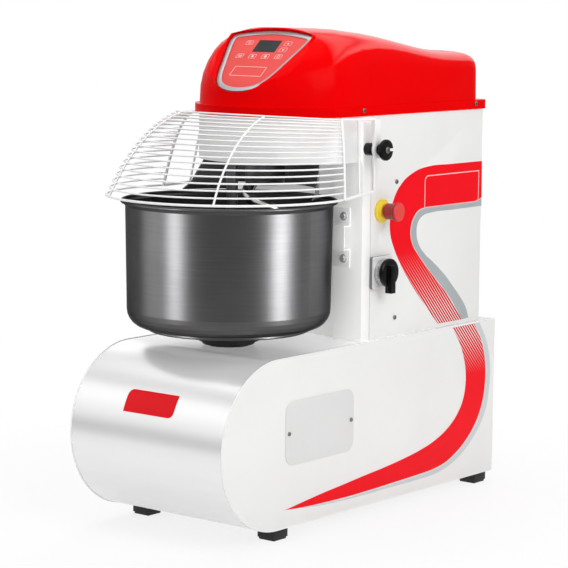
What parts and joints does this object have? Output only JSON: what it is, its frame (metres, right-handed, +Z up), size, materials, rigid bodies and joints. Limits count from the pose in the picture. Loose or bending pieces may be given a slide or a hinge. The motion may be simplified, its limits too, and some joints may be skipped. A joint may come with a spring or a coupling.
{
  "type": "spiral dough mixer",
  "caption": "Spiral dough mixer with a round-nosed base, a turning steel bowl under a red-topped head, a spiral hook, a breaker bar and a hinged wire guard.",
  "frame": {"origin": "on the floor below the middle of the base box", "axes": "+Z up, -Y towards the bowl and the round nose, +X towards the side with the controls"},
  "size_m": [0.4662, 0.8619, 0.9332],
  "materials": {
    "white_paint": "satin powder coat",
    "pale_steel": "brushed",
    "bowl_steel": "brushed",
    "dark_steel": "machined",
    "bright_steel": "polished",
    "cover_red": "gloss",
    "panel_red": "satin film",
    "display": "gloss",
    "black_plastic": "moulded",
    "foot_rubber": "moulded",
    "yellow_plastic": "moulded",
    "stop_red": "moulded",
    "wire_white": "coated wire",
    "motor_grey": "satin"
  },
  "bodies": {
    "frame": {"base_wrap": "pale_steel", "base_side_right": "white_paint", "base_side_left": "white_paint", "base_rear_cover": "white_paint", "base_access_cover": "white_paint", "access_cover_screws": "bright_steel", "feet": "foot_rubber", "column_front": "white_paint", "column_side_right": "white_paint", "column_side_left": "white_paint", "column_rear_cover": "white_paint", "column_screws": "bright_steel", "head_skirt": "pale_steel", "head_floor": "pale_steel", "head_cover": "cover_red", "head_cover_screws": "bright_steel", "control_bezel": "bright_steel", "control_overlay": "panel_red", "display_window": "display", "control_keys": "panel_red", "rear_shield": "bowl_steel", "breaker_bar": "bowl_steel", "roller_bracket": "white_paint", "roller_bolts": "bright_steel", "roller_pin": "bright_steel", "guard_pivots": "black_plastic", "pivot_screws": "bright_steel", "estop_collar": "yellow_plastic", "switch_plate": "bright_steel", "switch_collar": "bright_steel", "bowl_bearings": "bright_steel", "bowl_bearing_housing": "dark_steel", "spiral_bearings": "bright_steel", "spiral_bearing_housing": "dark_steel", "lay_bearings": "bright_steel", "lay_bearing_plates": "bright_steel", "motor_body": "motor_grey", "motor_plate": "bright_steel", "drive_belts": "foot_rubber", "control_box": "bright_steel", "cable_gland": "black_plastic"},
    "bowl": {"bowl_shell": "bowl_steel", "bowl_hub": "dark_steel", "bowl_shaft": "bright_steel", "bowl_pulley": "dark_steel"},
    "spiral": {"spiral_hook": "bowl_steel", "spiral_hub": "dark_steel", "spiral_pulley": "dark_steel"},
    "lay_shaft": {"lay_shaft": "bright_steel", "lay_pulleys": "dark_steel"},
    "motor_rotor": {"motor_shaft": "dark_steel"},
    "roller": {"guide_roller": "black_plastic"},
    "guard": {"guard_wires": "wire_white", "guard_frame": "wire_white", "guard_arms": "wire_white", "guard_cams": "black_plastic"},
    "switch": {"switch_knob": "black_plastic"},
    "estop": {"estop_button": "stop_red"}
  },
  "joints": [
    {"name": "bowl_spin", "type": "hinge", "parent": "frame", "child": "bowl", "pos_m": [0, -0.195, 0.37], "axis": [0, 0, 1], "continuous": true},
    {"name": "spiral_spin", "type": "hinge", "parent": "frame", "child": "spiral", "pos_m": [0, -0.09, 0.68], "axis": [0, 0, 1], "continuous": true},
    {"name": "lay_spin", "type": "hinge", "parent": "frame", "child": "lay_shaft", "pos_m": [0, 0.135, 0.5], "axis": [0, 0, 1], "continuous": true},
    {"name": "motor_spin", "type": "hinge", "parent": "frame", "child": "motor_rotor", "pos_m": [0, 0.295, 0.6], "axis": [0, 0, 1], "continuous": true},
    {"name": "roller_spin", "type": "hinge", "parent": "frame", "child": "roller", "pos_m": [0.105, -0.02062, 0.538], "axis": [0, 0, 1], "continuous": true},
    {"name": "guard_hinge", "type": "hinge", "parent": "frame", "child": "guard", "pos_m": [0, 0.006, 0.708], "axis": [-1, 0, 0], "range_deg": [0, 32]},
    {"name": "switch_turn", "type": "hinge", "parent": "frame", "child": "switch", "pos_m": [0.19, 0.049, 0.47], "axis": [1, 0, 0], "range_deg": [0, 90]},
    {"name": "estop_press", "type": "slide", "parent": "frame", "child": "estop", "axis": [-1, 0, 0], "range_m": [0, 0.004], "stiffness_N_per_m": 1500}
  ],
  "couplings": [
    {"joint": "lay_spin", "follows": "bowl_spin", "ratio": 5},
    {"joint": "spiral_spin", "follows": "bowl_spin", "ratio": 2.5904},
    {"joint": "motor_spin", "follows": "bowl_spin", "ratio": 14.714},
    {"joint": "roller_spin", "follows": "bowl_spin", "ratio": -16.39}
  ]
}
